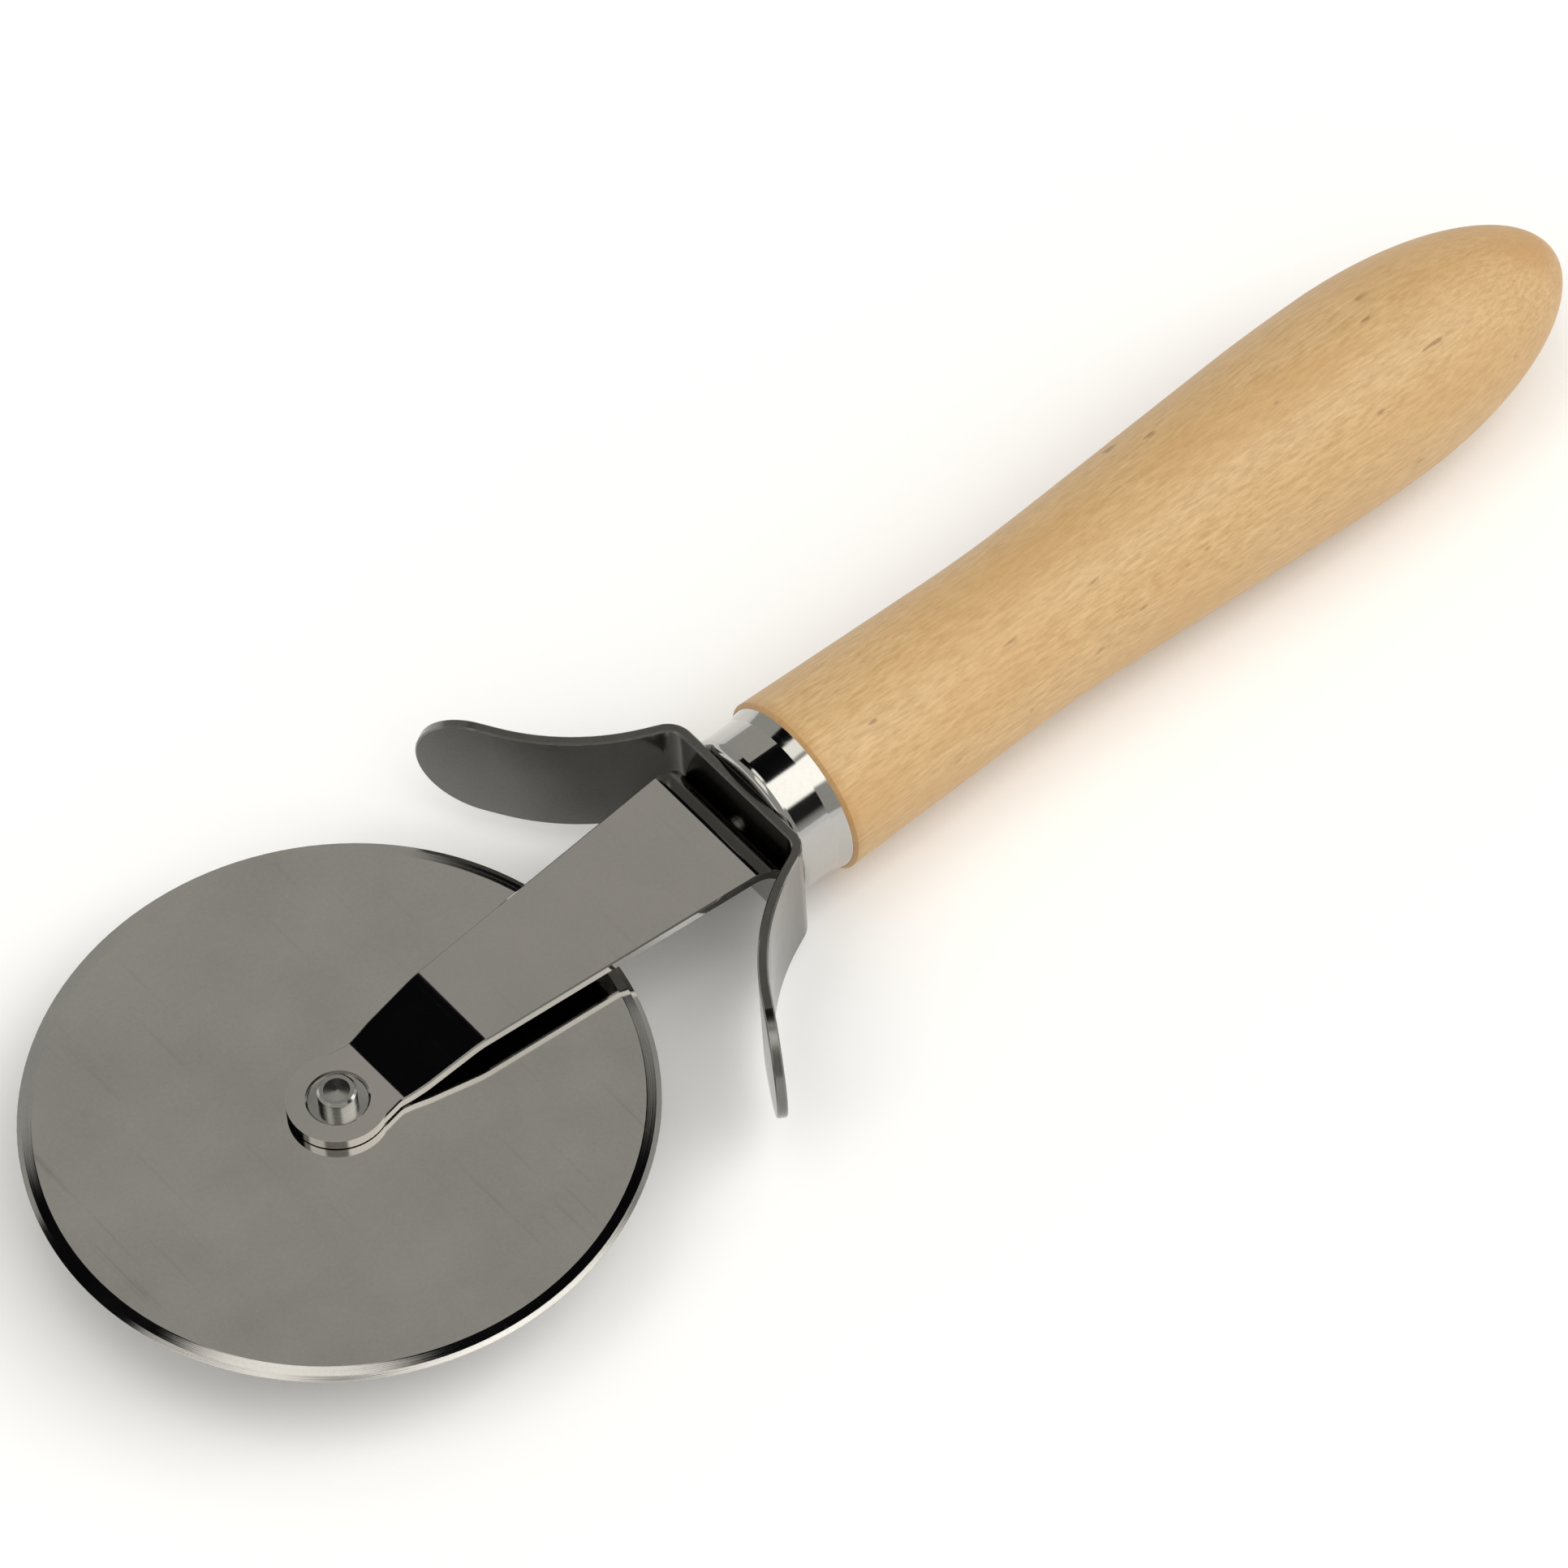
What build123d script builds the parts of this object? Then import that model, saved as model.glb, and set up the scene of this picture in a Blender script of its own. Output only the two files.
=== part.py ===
from build123d import *
from math import atan2, tan
import os

# A pizza cutter: a round blade on a one-armed stamped bracket, a finger guard with two swept wings,
# a ferrule and a turned wooden handle. All lengths are in millimetres and all angles in degrees.
# Each piece is drawn in the tool's own frame: the origin is the wheel's centre, +X runs along the
# tool towards the handle, +Z is the wheel's axis on the arm's side.

# Cutting wheel
wheel_radius = 32.0
wheel_thickness = 0.9
bevel_width = 1.5
edge_grind_width = 0.5
edge_grind_thickness = 0.5
edge_land_thickness = 0.14

# Stud that the wheel turns on
journal_radius = 3.05
journal_clearance = 0.06
stud_fit_clearance = 0.03
axial_clearance = 0.15
stud_head_radius = 5.2
stud_head_thickness = 1.2
stud_head_chamfer = 0.4
shoulder_depth = 0.35
pin_radius = 2.0
pin_protrusion = 1.5
pin_chamfer = 0.25
pin_dish_radius = 1.35
pin_dish_depth = 0.12

# Stamped bracket
strip_thickness = 1.2
eye_radius = 5.25
eye_rim_chamfer = 0.2
arm_lift = 1.9
joggle_length = 8.4
joggle_start_gap = 0.3
joggle_fold_radius = 7.0
neck_distance = 4.5
neck_half_width = 4.4
shoulder_distance = 7.6
shoulder_half_width = 4.9
shoulder_rounding = 4.0
neck_rounding = 1.6
arm_end_half_width = 8.4
rim_to_flange = 18.1
bend_inner_radius = 3.2
flange_inset = 0.9
flange_corner_radius = 3.0
strip_edge_chamfer = 0.15

# Finger guard, with its directions measured off the tool's axis
guard_thickness = 1.1
guard_half_height = 7.0
plate_half_length = 8.2
wing_root_radius = 2.5
wing_root_angle = 25.0
wing_root_length = 1.6
wing_flare_radius = 26.0
wing_end_angle = 59.0
wing_end_length = 8.9
guard_edge_chamfer = 0.15

# Ferrule
ferrule_radius = 9.1
ferrule_length = 6.15
ferrule_wall = 0.8
ferrule_front_rounding = 1.0
ferrule_mouth_radius = 9.5
ferrule_mouth_length = 1.5

# Tang
tang_radius = 1.2
tang_front_stand_out = 0.9
tang_front_chamfer = 0.3
tang_grip_length = 42.0
tang_point_length = 4.0
tang_clearance = 0.03

# Handle, with its distances measured from the ferrule's mouth. Its two tapers meet at the waist, and
# the second one meets the level belly, each in a long blend.
shoulder_radius = 9.95
shoulder_edge_chamfer = 0.4
tenon_clearance = 0.05
waist_radius = 9.2
waist_distance = 30.5
waist_blend_radius = 160.0
belly_radius = 11.2
belly_start_distance = 69.0
belly_blend_radius = 200.0
belly_level_length = 1.7
butt_length = 27.2

# One overrun for every cut, and how near in size an edge must be to be the one looked for
overrun = 1.0
same_share = 0.001

os.makedirs("parts", exist_ok=True)

# Heights over the wheel's middle plane
wheel_face = wheel_thickness / 2
eye_underside = wheel_face + axial_clearance
eye_top = eye_underside + strip_thickness
eye_middle = eye_underside + strip_thickness / 2
arm_middle = eye_middle + arm_lift
shoulder_top = eye_top - shoulder_depth
pin_top = eye_top + pin_protrusion
head_top = -wheel_face - axial_clearance
head_bottom = head_top - stud_head_thickness

# Stations along the tool
joggle_start = eye_radius + joggle_start_gap
joggle_end = joggle_start + joggle_length
flange_front = wheel_radius + rim_to_flange
flange_middle = flange_front + strip_thickness / 2
bend_start = flange_front - bend_inner_radius
flange_rear = flange_front + strip_thickness
guard_middle = flange_rear + guard_thickness / 2
ferrule_front = flange_rear + guard_thickness
ferrule_mouth = ferrule_front + ferrule_length
tenon_end = ferrule_front + ferrule_wall + tenon_clearance
waist = ferrule_mouth + waist_distance
belly_start = ferrule_mouth + belly_start_distance
belly_slope = atan2(belly_radius - waist_radius, belly_start - waist)
belly_end = belly_start + belly_blend_radius * tan(belly_slope / 2) + belly_level_length
butt = belly_end + butt_length
tang_front = flange_front - tang_front_stand_out
tang_point_start = ferrule_mouth + tang_grip_length
tang_tip = tang_point_start + tang_point_length

# Bores and fits
bore_radius = journal_radius + journal_clearance
eye_hole_radius = journal_radius + stud_fit_clearance
tang_hole_radius = tang_radius + tang_clearance
ferrule_bore = ferrule_radius - ferrule_wall
tenon_radius = ferrule_bore - tenon_clearance

# Wheel: half of its section, both faces ground twice towards the edge
with BuildPart() as wheel_blade:
    with BuildSketch(Plane.XZ) as wheel_section:
        with BuildLine():
            Polyline(
                (bore_radius, 0),
                (bore_radius, wheel_face),
                (wheel_radius - bevel_width, wheel_face),
                (wheel_radius - edge_grind_width, edge_grind_thickness / 2),
                (wheel_radius, edge_land_thickness / 2),
                (wheel_radius, 0),
                close=True,
            )
        make_face()
        mirror(about=Plane.XZ)
    revolve(axis=Axis.Z)
wheel_blade.part.label = "wheel_blade"

# Stud: head, journal, shoulder and pin in one turned piece
with BuildPart() as axle_stud:
    with BuildSketch(Plane.XZ) as stud_section:
        with BuildLine():
            Polyline(
                (0, head_bottom),
                (stud_head_radius, head_bottom),
                (stud_head_radius, head_top),
                (journal_radius, head_top),
                (journal_radius, shoulder_top),
                (pin_radius, shoulder_top),
                (pin_radius, pin_top - pin_chamfer),
                (pin_radius - pin_chamfer, pin_top),
                (pin_dish_radius, pin_top),
                (0, pin_top - pin_dish_depth),
                close=True,
            )
        make_face()
    revolve(axis=Axis.Z)
    chamfer(axle_stud.edges().sort_by(Axis.Z)[0], stud_head_chamfer)
axle_stud.part.label = "axle_stud"

# Bracket: a folded strip, cut to its outline seen from above and seen from the front
with BuildPart() as arm_bracket:
    with BuildSketch(Plane.XZ) as strip_section:
        with BuildLine():
            FilletPolyline(
                (-eye_radius - overrun, eye_middle),
                (joggle_start, eye_middle),
                (joggle_end, arm_middle),
                (flange_middle, arm_middle),
                (flange_middle, -guard_half_height + flange_inset),
                radius=[
                    joggle_fold_radius,
                    joggle_fold_radius,
                    bend_inner_radius + strip_thickness / 2,
                ],
            )
        trace(line_width=strip_thickness)
    extrude(amount=arm_end_half_width + overrun, both=True)
    with BuildSketch(Plane.XY.offset(-guard_half_height)) as bracket_outline:
        with BuildLine():
            Polyline(
                (0, eye_radius),
                (neck_distance, neck_half_width),
                (shoulder_distance, shoulder_half_width),
                (flange_rear, arm_end_half_width),
                (flange_rear, 0),
                (0, 0),
                close=True,
            )
        make_face()
        mirror(about=Plane.XZ)
        shoulders = bracket_outline.vertices().filter_by(
            lambda corner: abs(corner.X / shoulder_distance - 1) < same_share
        )
        fillet(shoulders, shoulder_rounding)
        necks = bracket_outline.vertices().filter_by(
            lambda corner: abs(corner.X / neck_distance - 1) < same_share
        )
        fillet(necks, neck_rounding)
        Circle(eye_radius)
    extrude(amount=2 * guard_half_height + arm_middle, mode=Mode.INTERSECT)
    with BuildSketch(Plane.XY) as eye_hole:
        Circle(eye_hole_radius)
    extrude(amount=eye_top + overrun, mode=Mode.SUBTRACT)
    with BuildSketch(Plane.YZ.offset(bend_start)) as flange_hole:
        Circle(tang_hole_radius)
    extrude(amount=flange_rear + overrun - bend_start, mode=Mode.SUBTRACT)
    flange_corners = arm_bracket.edges().group_by(Axis.Z)[0].sort_by(SortBy.LENGTH)[:2]
    fillet(flange_corners, flange_corner_radius)
    eye_rims = arm_bracket.edges().filter_by(
        lambda edge: edge.geom_type == GeomType.CIRCLE and abs(edge.radius / eye_hole_radius - 1) < same_share
    )
    chamfer(eye_rims.sort_by(Axis.Z)[-1], eye_rim_chamfer)
    arm_edges = arm_bracket.edges().filter_by(GeomType.LINE).sort_by(SortBy.LENGTH)[-4:]
    chamfer(arm_edges, strip_edge_chamfer)
arm_bracket.part.label = "arm_bracket"

# Guard: one half bent along its middle line and rounded at the tip, then mirrored
with BuildPart() as finger_guard:
    with BuildSketch(Plane.XY.offset(-guard_half_height)) as guard_strip:
        with BuildLine():
            plate = Line((guard_middle, 0), (guard_middle, plate_half_length))
            root = JernArc(plate @ 1, plate % 1, wing_root_radius, 90 - wing_root_angle)
            straight = PolarLine(root @ 1, wing_root_length, direction=root % 1)
            flare = JernArc(straight @ 1, straight % 1, wing_flare_radius, wing_root_angle - wing_end_angle)
            wing_end = PolarLine(flare @ 1, wing_end_length, direction=flare % 1)
        trace(line_width=guard_thickness)
    extrude(amount=2 * guard_half_height)
    wing_tip = wing_end @ 1
    wing_direction = wing_end % 1
    tip_plane = Plane(
        origin=wing_tip - wing_direction * guard_half_height,
        x_dir=wing_direction,
        z_dir=Vector(wing_direction.Y, -wing_direction.X, 0),
    )
    with BuildSketch(tip_plane) as tip_corners:
        Rectangle(
            guard_half_height + overrun,
            2 * guard_half_height,
            align=(Align.MIN, Align.CENTER),
        )
        Circle(guard_half_height, mode=Mode.SUBTRACT)
    extrude(amount=guard_thickness, both=True, mode=Mode.SUBTRACT)
    mirror(about=Plane.XZ)
    with BuildSketch(Plane.YZ.offset(flange_rear)) as guard_hole:
        Circle(tang_hole_radius)
    extrude(amount=guard_thickness + overrun, mode=Mode.SUBTRACT)
    tip_edges = finger_guard.edges().filter_by(
        lambda edge: edge.geom_type == GeomType.CIRCLE and abs(edge.radius / guard_half_height - 1) < same_share
    )
    chamfer(tip_edges, guard_edge_chamfer)
finger_guard.part.label = "finger_guard"

# Ferrule: a drawn cap, its mouth a little wider
with BuildPart() as ferrule:
    with BuildSketch(Plane.XZ) as ferrule_section:
        with BuildLine():
            Polyline(
                (ferrule_front, tang_hole_radius),
                (ferrule_front, ferrule_radius),
                (ferrule_mouth - ferrule_mouth_length, ferrule_radius),
                (ferrule_mouth, ferrule_mouth_radius),
                (ferrule_mouth, ferrule_bore),
                (ferrule_front + ferrule_wall, ferrule_bore),
                (ferrule_front + ferrule_wall, tang_hole_radius),
                close=True,
            )
        make_face()
    revolve(axis=Axis.X)
    front_rim = ferrule.edges().filter_by(GeomType.CIRCLE).group_by(Axis.X)[0].sort_by(SortBy.RADIUS)[-1]
    fillet(front_rim, ferrule_front_rounding)
ferrule.part.label = "ferrule"

# Tang: a rod with a chamfered front end and a driven point
with BuildPart() as tang:
    with BuildSketch(Plane.XZ) as tang_section:
        with BuildLine():
            Polyline(
                (tang_front, 0),
                (tang_front, tang_radius - tang_front_chamfer),
                (tang_front + tang_front_chamfer, tang_radius),
                (tang_point_start, tang_radius),
                (tang_tip, 0),
                close=True,
            )
        make_face()
    revolve(axis=Axis.X)
tang.part.label = "tang"

# Handle: a turned outline from the shoulder over waist and belly to the round butt
with BuildPart() as handle:
    with BuildSketch(Plane.XZ) as handle_section:
        with BuildLine():
            Polyline(
                (belly_end, 0),
                (tenon_end, 0),
                (tenon_end, tenon_radius),
                (ferrule_mouth, tenon_radius),
                (ferrule_mouth, shoulder_radius),
            )
            FilletPolyline(
                (ferrule_mouth, shoulder_radius),
                (waist, waist_radius),
                (belly_start, belly_radius),
                (belly_end, belly_radius),
                radius=[waist_blend_radius, belly_blend_radius],
            )
            EllipticalCenterArc((belly_end, 0), butt_length, belly_radius, start_angle=0, arc_size=90)
            Line((butt, 0), (belly_end, 0))
        make_face()
    revolve(axis=Axis.X)
    shoulder_rims = handle.edges().filter_by(
        lambda edge: edge.geom_type == GeomType.CIRCLE and abs(edge.radius / shoulder_radius - 1) < same_share
    )
    chamfer(shoulder_rims, shoulder_edge_chamfer)
    with BuildSketch(Plane.XZ) as pilot_section:
        with BuildLine():
            Polyline(
                (tenon_end - overrun, 0),
                (tenon_end - overrun, tang_hole_radius),
                (tang_point_start, tang_hole_radius),
                (tang_tip + tang_clearance, 0),
                close=True,
            )
        make_face()
    revolve(axis=Axis.X, mode=Mode.SUBTRACT)
handle.part.label = "handle"

# The finished tool stands centred over the origin, with the handle's belly on the ground
stand = Location(((wheel_radius - butt) / 2, 0, belly_radius))
wheel_blade.part.move(stand)
axle_stud.part.move(stand)
arm_bracket.part.move(stand)
finger_guard.part.move(stand)
ferrule.part.move(stand)
tang.part.move(stand)
handle.part.move(stand)

export_step(wheel_blade.part, "parts/wheel_blade.step")
export_step(axle_stud.part, "parts/axle_stud.step")
export_step(arm_bracket.part, "parts/arm_bracket.step")
export_step(finger_guard.part, "parts/finger_guard.step")
export_step(ferrule.part, "parts/ferrule.step")
export_step(tang.part, "parts/tang.step")
export_step(handle.part, "parts/handle.step")

print("wheel centre", stand.position)
print("belly from", belly_start + stand.position.X, "to", belly_end + stand.position.X)
print("wing tip", wing_tip + stand.position)
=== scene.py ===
import bpy
import math
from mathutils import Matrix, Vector

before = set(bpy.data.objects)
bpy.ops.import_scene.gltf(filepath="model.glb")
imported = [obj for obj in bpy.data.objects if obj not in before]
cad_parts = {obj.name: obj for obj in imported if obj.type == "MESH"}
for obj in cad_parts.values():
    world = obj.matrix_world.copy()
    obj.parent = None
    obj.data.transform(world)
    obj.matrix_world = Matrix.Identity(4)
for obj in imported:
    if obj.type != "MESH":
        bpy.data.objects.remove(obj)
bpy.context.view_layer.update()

# Places on the tool, in metres
wheel_centre = (-0.0648207, 0.0, 0.0112)
bevel_start_radius = 0.0305
bevel_start_blend = 0.0001
handle_front = -0.0063
handle_front_dark_ring = 0.0016
handle_butt = 0.0968
handle_butt_stain = 0.014

# Worn edges of the metal, which are also painted paler as an edge highlight: their width in metres,
# and how much rougher they are
worn_and_highlit_edge_width = 0.0002
worn_edge_roughness = 0.12

# How fine each pattern is: the higher, the finer
steel_mottling = 2600
steel_clouds = 90
steel_dull_areas = 160
handling_marks = 1500
wear_breaks = 1800
grinding_lines = 14000
wood_grain = 2700
wood_clouds = 130
wood_flecks = 620

# How deep each relief is, in metres
mottling_depth = 0.00001
grinding_depth = 0.00002
grain_depth = 0.00003

# Finish of each metal node: material, light tone, dark tone, roughness where smooth and where dull
metal_finishes = {
    "wheel_blade": ("blade_steel", (0.51, 0.495, 0.470), (0.445, 0.435, 0.415), 0.05, 0.09),
    "axle_stud": ("stud_steel", (0.50, 0.49, 0.47), (0.42, 0.41, 0.40), 0.12, 0.2),
    "arm_bracket": ("arm_steel", (0.51, 0.49, 0.47), (0.46, 0.45, 0.43), 0.04, 0.07),
    # the guard's tones are painted darker than the other steel, standing in for the dark reflection
    # on its wings
    "finger_guard": ("guard_steel", (0.20, 0.196, 0.184), (0.155, 0.152, 0.142), 0.14, 0.2),
    "ferrule": ("ferrule_steel", (0.51, 0.50, 0.475), (0.46, 0.45, 0.43), 0.05, 0.09),
    "tang": ("tang_steel", (0.24, 0.24, 0.23), (0.20, 0.20, 0.19), 0.3, 0.4),
}
# paler steel along the edges: partly wear, partly a painted edge highlight
worn_and_highlit_steel = (0.72, 0.71, 0.69)

# Colours of the wood
light_wood = (0.65, 0.44, 0.225)
dark_wood = (0.49, 0.305, 0.130)
clouded_wood = (0.54, 0.325, 0.13)
wood_fleck = (0.22, 0.12, 0.05)
# darker wood: a thin ring at the front and blotches on the butt
darkened_end_wood = (0.42, 0.21, 0.06)

# Camera, floor and lamp
camera_place = (-0.37504218, -0.4962327, 0.87856642)
camera_turn = (35.43482752, 2.39420004, -39.90250786)
camera_lens = 242.33673
floor_colour = (0.96, 0.96, 0.96)
floor_radius = 2.5
lamp_direction = (0.1, -0.2, 1)
lamp_spread = 110
lamp_strength = 1.08

# The studio's panels, each laid over the ones before it: name, limits and softness across (X) and
# along (Y), and colour. A place in the studio is given by the direction towards it.
ceiling_grey = (0.46, 0.455, 0.43)
wall_white = (0.96, 0.96, 0.96)
wall_height = (0.10, 0.14)
nearly_black = (0.004, 0.004, 0.005)
panel_white = (1.5, 1.47, 1.40)
studio_panels = (
    ("dark_left_gap", (-0.47, 0.28, 0.03), (0.33, 0.645, 0.02), nearly_black),
    ("dark_right_gap", (0.50, 2.0, 0.03), (0.37, 0.645, 0.02), nearly_black),
    ("dark_middle_gap", (0.12, 0.58, 0.03), (-0.12, 0.45, 0.02), nearly_black),
    ("dark_front_gap", (0.22, 0.60, 0.04), (-0.90, -0.40, 0.03), (0.02, 0.02, 0.02)),
    ("grey_wall", (0.247, 0.53, 0.008), (0.426, 2.0, 0.010), (0.485, 0.475, 0.440)),
    ("top_panel", (-0.30, 0.11, 0.03), (-0.02, 0.31, 0.04), panel_white),
    ("left_panel", (-0.85, -0.48, 0.04), (-0.15, 0.20, 0.04), panel_white),
    ("front_panel", (-0.22, 0.85, 0.04), (-0.70, -0.12, 0.03), (2.0, 1.97, 1.88)),
)


def new_material(name):
    """An empty node material with its surface shader."""
    material = bpy.data.materials.new(name)
    material.use_nodes = True
    nodes = material.node_tree.nodes
    nodes.clear()
    output = nodes.new("ShaderNodeOutputMaterial")
    shader = nodes.new("ShaderNodeBsdfPrincipled")
    material.node_tree.links.new(shader.outputs["BSDF"], output.inputs["Surface"])
    return material, shader


def pattern_place(material, scale=(1, 1, 1), location=(0, 0, 0)):
    """Object coordinates, stretched and shifted for a pattern."""
    nodes = material.node_tree.nodes
    links = material.node_tree.links
    coordinates = nodes.new("ShaderNodeTexCoord")
    mapping = nodes.new("ShaderNodeMapping")
    mapping.inputs["Scale"].default_value = scale
    mapping.inputs["Location"].default_value = location
    links.new(coordinates.outputs["Object"], mapping.inputs["Vector"])
    return mapping.outputs["Vector"]


def noise(material, vector, scale, detail=4, roughness=0.5):
    """A cloudy pattern."""
    nodes = material.node_tree.nodes
    texture = nodes.new("ShaderNodeTexNoise")
    texture.inputs["Scale"].default_value = scale
    texture.inputs["Detail"].default_value = detail
    texture.inputs["Roughness"].default_value = roughness
    material.node_tree.links.new(vector, texture.inputs["Vector"])
    return texture.outputs["Fac"]


def spread(material, value, low, high, from_low=0.3, from_high=0.7):
    """A value brought into a range."""
    node = material.node_tree.nodes.new("ShaderNodeMapRange")
    node.inputs["From Min"].default_value = from_low
    node.inputs["From Max"].default_value = from_high
    node.inputs["To Min"].default_value = low
    node.inputs["To Max"].default_value = high
    material.node_tree.links.new(value, node.inputs["Value"])
    return node.outputs["Result"]


def combine(material, operation, first, second, third=None):
    """Two or three values put together. The second may be a plain number."""
    links = material.node_tree.links
    node = material.node_tree.nodes.new("ShaderNodeMath")
    node.operation = operation
    links.new(first, node.inputs[0])
    if isinstance(second, (int, float)):
        node.inputs[1].default_value = second
    else:
        links.new(second, node.inputs[1])
    if third is not None:
        links.new(third, node.inputs[2])
    return node.outputs["Value"]


def tint(material, amount, first, second):
    """A colour between two others. Each may be a plain colour or another node's."""
    node = material.node_tree.nodes.new("ShaderNodeMix")
    node.data_type = "RGBA"
    sockets = [socket for socket in node.inputs if socket.type == "RGBA"]
    for socket, colour in zip(sockets, (first, second)):
        if isinstance(colour, tuple):
            socket.default_value = (*colour, 1)
        else:
            material.node_tree.links.new(colour, socket)
    material.node_tree.links.new(amount, node.inputs["Factor"])
    return [socket for socket in node.outputs if socket.type == "RGBA"][0]


def bump(material, height, shader, strength, distance):
    """A fine relief, added to the one that the surface already has."""
    nodes = material.node_tree.nodes
    links = material.node_tree.links
    node = nodes.new("ShaderNodeBump")
    node.inputs["Strength"].default_value = strength
    node.inputs["Distance"].default_value = distance
    links.new(height, node.inputs["Height"])
    if shader.inputs["Normal"].is_linked:
        earlier_relief = shader.inputs["Normal"].links[0].from_socket
        links.new(earlier_relief, node.inputs["Normal"])
    links.new(node.outputs["Normal"], shader.inputs["Normal"])


def worn_and_highlit_edges(material):
    """1 along the piece's edges, broken up by a fine noise."""
    nodes = material.node_tree.nodes
    links = material.node_tree.links
    rounded = nodes.new("ShaderNodeBevel")
    rounded.samples = 4
    rounded.inputs["Radius"].default_value = worn_and_highlit_edge_width
    surface = nodes.new("ShaderNodeNewGeometry")
    same = nodes.new("ShaderNodeVectorMath")
    same.operation = "DOT_PRODUCT"
    links.new(rounded.outputs["Normal"], same.inputs[0])
    links.new(surface.outputs["Normal"], same.inputs[1])
    edge = spread(material, same.outputs["Value"], 1, 0, 0.8, 0.98)
    broken = spread(material, noise(material, pattern_place(material), wear_breaks), 0.2, 1)
    return combine(material, "MULTIPLY", edge, broken)


def distance_from_axle(material):
    """How far a point lies from the wheel's axis, in metres."""
    to_axle = (-wheel_centre[0], -wheel_centre[1], 0)
    place = pattern_place(material, scale=(1, 1, 0), location=to_axle)
    length = material.node_tree.nodes.new("ShaderNodeVectorMath")
    length.operation = "LENGTH"
    material.node_tree.links.new(place, length.inputs[0])
    return length.outputs["Value"]


def steel_colour(material, light, dark, mottling, wear_and_highlight):
    """Mottled and clouded, and paler along the worn edges, where the paler steel is partly wear and
    partly a painted edge highlight.
    """
    clouds = noise(material, pattern_place(material), steel_clouds, detail=3)
    tone = combine(material, "MULTIPLY_ADD", mottling, 0.6, clouds)
    colour = tint(material, spread(material, tone, 0, 1, 0.55, 1.05), dark, light)
    return tint(material, combine(material, "MULTIPLY", wear_and_highlight, 0.5), colour, worn_and_highlit_steel)


def steel_roughness(material, smooth, dull, wear_and_highlight):
    """Slightly dull areas, faint handling marks along the tool, and rougher worn edges."""
    areas = noise(material, pattern_place(material), steel_dull_areas)
    dullness = spread(material, areas, smooth, dull)
    long_place = pattern_place(material, scale=(1, 0.03, 1))
    scratches = noise(material, long_place, handling_marks, detail=2)
    marks = spread(material, scratches, 0, 0.05, 0.62, 0.75)
    surface = combine(material, "ADD", dullness, marks)
    edges = combine(material, "MULTIPLY", wear_and_highlight, worn_edge_roughness)
    return combine(material, "ADD", surface, edges)


def steel(name, light, dark, smooth, dull):
    """Polished stainless steel."""
    material, shader = new_material(name)
    links = material.node_tree.links
    shader.inputs["Metallic"].default_value = 1
    wear_and_highlight = worn_and_highlit_edges(material)
    mottling = noise(material, pattern_place(material), steel_mottling, detail=3, roughness=0.7)
    colour = steel_colour(material, light, dark, mottling, wear_and_highlight)
    links.new(colour, shader.inputs["Base Color"])
    links.new(steel_roughness(material, smooth, dull, wear_and_highlight), shader.inputs["Roughness"])
    bump(material, mottling, shader, 0.05, mottling_depth)
    return material, shader


def grind_bevel(material, shader):
    """Concentric grinding lines on the wheel's bevel."""
    radius = distance_from_axle(material)
    rings = material.node_tree.nodes.new("ShaderNodeCombineXYZ")
    material.node_tree.links.new(radius, rings.inputs["X"])
    lines = noise(material, rings.outputs["Vector"], grinding_lines, detail=2)
    bevel_limits = (bevel_start_radius, bevel_start_radius + bevel_start_blend)
    on_bevel = spread(material, radius, 0, 1, *bevel_limits)
    bump(material, combine(material, "MULTIPLY", lines, on_bevel), shader, 0.25, grinding_depth)


def darkened_ends(material, clouds):
    """How much darker the wood is: in a thin ring in front, and in blotches on the butt."""
    along = material.node_tree.nodes.new("ShaderNodeSeparateXYZ")
    material.node_tree.links.new(pattern_place(material), along.inputs["Vector"])
    front_limits = (handle_front, handle_front + handle_front_dark_ring)
    butt_limits = (handle_butt - handle_butt_stain, handle_butt)
    front = spread(material, along.outputs["X"], 0.55, 0, *front_limits)
    butt = spread(material, along.outputs["X"], 0, 0.6, *butt_limits)
    blotches = combine(material, "MULTIPLY", butt, spread(material, clouds, 0, 1, 0.4, 0.6))
    return combine(material, "MAXIMUM", front, blotches)


def wood_colour(material, grain):
    """Fine short grain, soft clouding, a few dark flecks, darker at both ends."""
    cloud_place = pattern_place(material, scale=(0.35, 1, 1))
    clouds = noise(material, cloud_place, wood_clouds, detail=4)
    colour = tint(material, spread(material, grain, 0, 1, 0.35, 0.65), dark_wood, light_wood)
    cloudy = spread(material, clouds, 0, 0.6, 0.45, 0.7)
    colour = tint(material, cloudy, colour, clouded_wood)
    fleck_place = pattern_place(material, scale=(0.3, 1, 1), location=(0.013, 0.004, 0))
    flecks = noise(material, fleck_place, wood_flecks, detail=2)
    colour = tint(material, spread(material, flecks, 0, 0.6, 0.70, 0.75), colour, wood_fleck)
    return tint(material, darkened_ends(material, clouds), colour, darkened_end_wood)


def turned_wood():
    """Pale turned hardwood, with its grain along the handle."""
    material, shader = new_material("turned_wood")
    links = material.node_tree.links
    grain_place = pattern_place(material, scale=(0.16, 1, 1))
    grain = noise(material, grain_place, wood_grain, detail=5, roughness=0.7)
    links.new(wood_colour(material, grain), shader.inputs["Base Color"])
    links.new(spread(material, grain, 0.42, 0.56), shader.inputs["Roughness"])
    bump(material, grain, shader, 0.25, grain_depth)
    return material


def dress(node_name, material):
    """Puts a finish on a CAD node."""
    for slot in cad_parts[node_name].material_slots:
        slot.material = material


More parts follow.
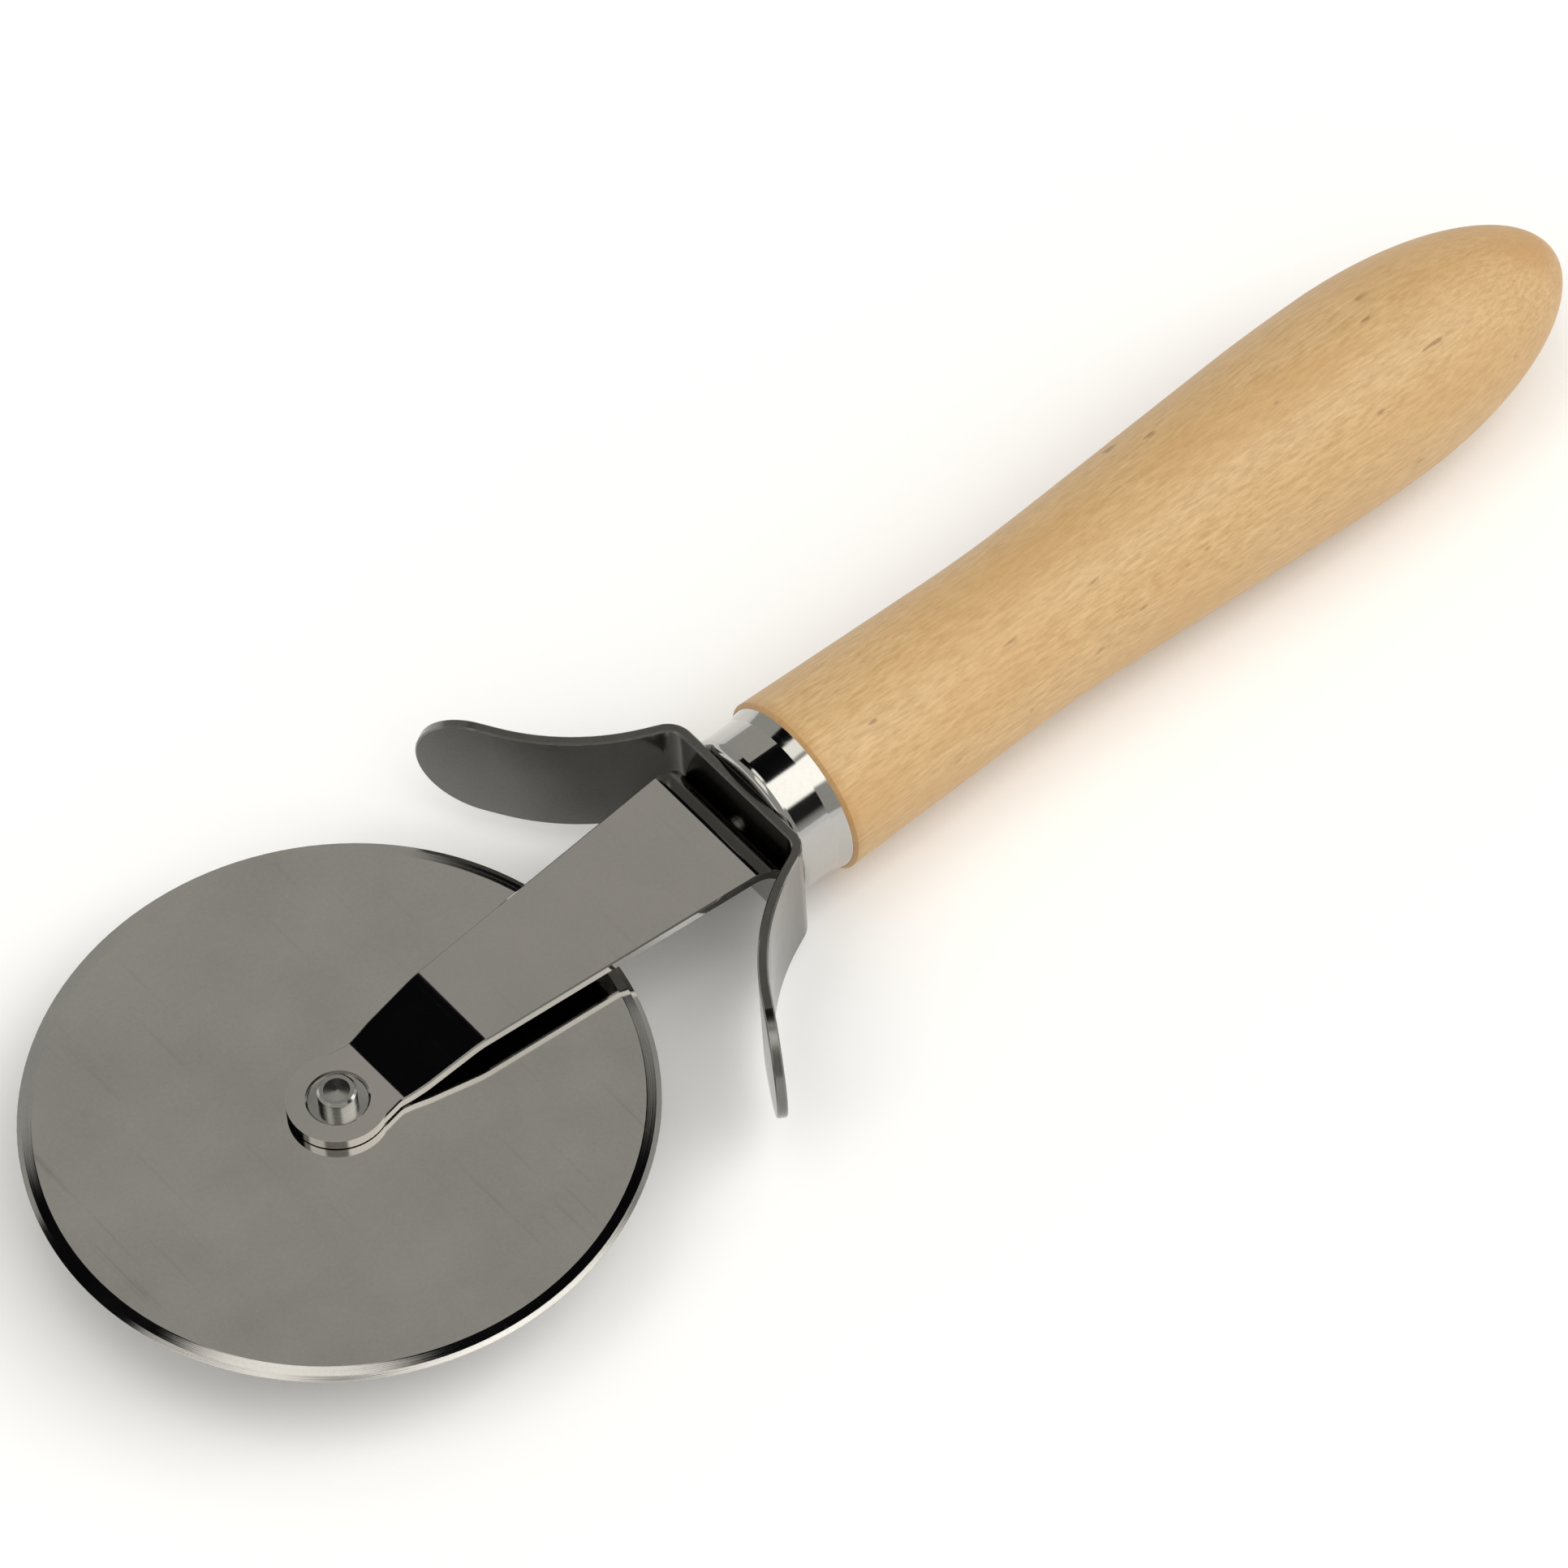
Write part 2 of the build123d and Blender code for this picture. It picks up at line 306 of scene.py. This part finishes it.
def dress_all():
    """Metal on every piece except the handle."""
    for node_name, finish in metal_finishes.items():
        material, shader = steel(*finish)
        if node_name == "wheel_blade":
            grind_bevel(material, shader)
        dress(node_name, material)
    dress("handle", turned_wood())


def place_camera():
    """The photograph's view."""
    camera_data = bpy.data.cameras.new("camera")
    camera = bpy.data.objects.new("camera", camera_data)
    bpy.context.scene.collection.objects.link(camera)
    camera.location = camera_place
    camera.rotation_euler = [math.radians(angle) for angle in camera_turn]
    camera_data.sensor_width = 36
    camera_data.lens = camera_lens
    camera_data.clip_start = 0.01
    bpy.context.scene.camera = camera


def lay_floor():
    """A plain pale floor that mirrors nothing."""
    bpy.ops.object.select_all(action="DESELECT")
    bpy.ops.mesh.primitive_circle_add(
        vertices=96, radius=floor_radius, fill_type="NGON", location=(0, 0, 0)
    )
    floor = bpy.context.object
    floor.name = "floor"
    material, shader = new_material("pale_floor")
    shader.inputs["Base Color"].default_value = (*floor_colour, 1)
    shader.inputs["Roughness"].default_value = 0.9
    shader.inputs["Specular IOR Level"].default_value = 0
    floor.data.materials.append(material)


def overhead_light():
    """One very wide, even light, as from a diffuse ceiling."""
    lamp_data = bpy.data.lights.new("overhead_light", "SUN")
    lamp_data.energy = lamp_strength
    lamp_data.angle = math.radians(lamp_spread)
    lamp = bpy.data.objects.new("overhead_light", lamp_data)
    bpy.context.scene.collection.objects.link(lamp)
    lamp.rotation_euler = Vector(lamp_direction).to_track_quat("Z", "Y").to_euler()
    # the metal mirrors the studio's panels, not the lamp
    lamp.visible_glossy = False


def ramp(nodes, links, value, start, end, first, last):
    """A smooth step from one level to another."""
    step = nodes.new("ShaderNodeMapRange")
    step.interpolation_type = "SMOOTHSTEP"
    step.inputs["From Min"].default_value = start
    step.inputs["From Max"].default_value = end
    step.inputs["To Min"].default_value = first
    step.inputs["To Max"].default_value = last
    links.new(value, step.inputs["Value"])
    return step.outputs["Result"]


def between(nodes, links, value, low, high, soft):
    """1 where a value lies between two limits, with soft ends."""
    both = nodes.new("ShaderNodeMath")
    both.operation = "MULTIPLY"
    links.new(ramp(nodes, links, value, low - soft, low + soft, 0, 1), both.inputs[0])
    links.new(ramp(nodes, links, value, high - soft, high + soft, 1, 0), both.inputs[1])
    return both.outputs["Value"]


def lay_over(nodes, links, name, cover, under, over):
    """A colour laid over another where cover is 1. The one under may be a plain colour."""
    mix = nodes.new("ShaderNodeMix")
    mix.data_type = "RGBA"
    mix.label = name
    links.new(cover, mix.inputs[0])
    if isinstance(under, tuple):
        mix.inputs[6].default_value = (*under, 1)
    else:
        links.new(under, mix.inputs[6])
    mix.inputs[7].default_value = (*over, 1)
    return mix.outputs[2]


def surroundings():
    """The studio, the same for every ray: pale walls, a grey ceiling, dark gaps and white panels."""
    world = bpy.data.worlds.new("studio")
    bpy.context.scene.world = world
    world.use_nodes = True
    nodes = world.node_tree.nodes
    links = world.node_tree.links
    background = nodes["Background"]
    coordinates = nodes.new("ShaderNodeTexCoord")
    axes = nodes.new("ShaderNodeSeparateXYZ")
    links.new(coordinates.outputs["Generated"], axes.inputs["Vector"])
    colour = ceiling_grey
    for name, across_limits, along_limits, panel_colour in studio_panels:
        inside = nodes.new("ShaderNodeMath")
        inside.operation = "MULTIPLY"
        inside.label = name
        links.new(between(nodes, links, axes.outputs["X"], *across_limits), inside.inputs[0])
        links.new(between(nodes, links, axes.outputs["Y"], *along_limits), inside.inputs[1])
        colour = lay_over(nodes, links, name, inside.outputs["Value"], colour, panel_colour)
    low = ramp(nodes, links, axes.outputs["Z"], *wall_height, 1, 0)
    colour = lay_over(nodes, links, "pale_walls", low, colour, wall_white)
    links.new(colour, background.inputs["Color"])
    background.inputs["Strength"].default_value = 1


dress_all()
lay_floor()
place_camera()
surroundings()
overhead_light()

bpy.context.scene.view_settings.view_transform = "Standard"
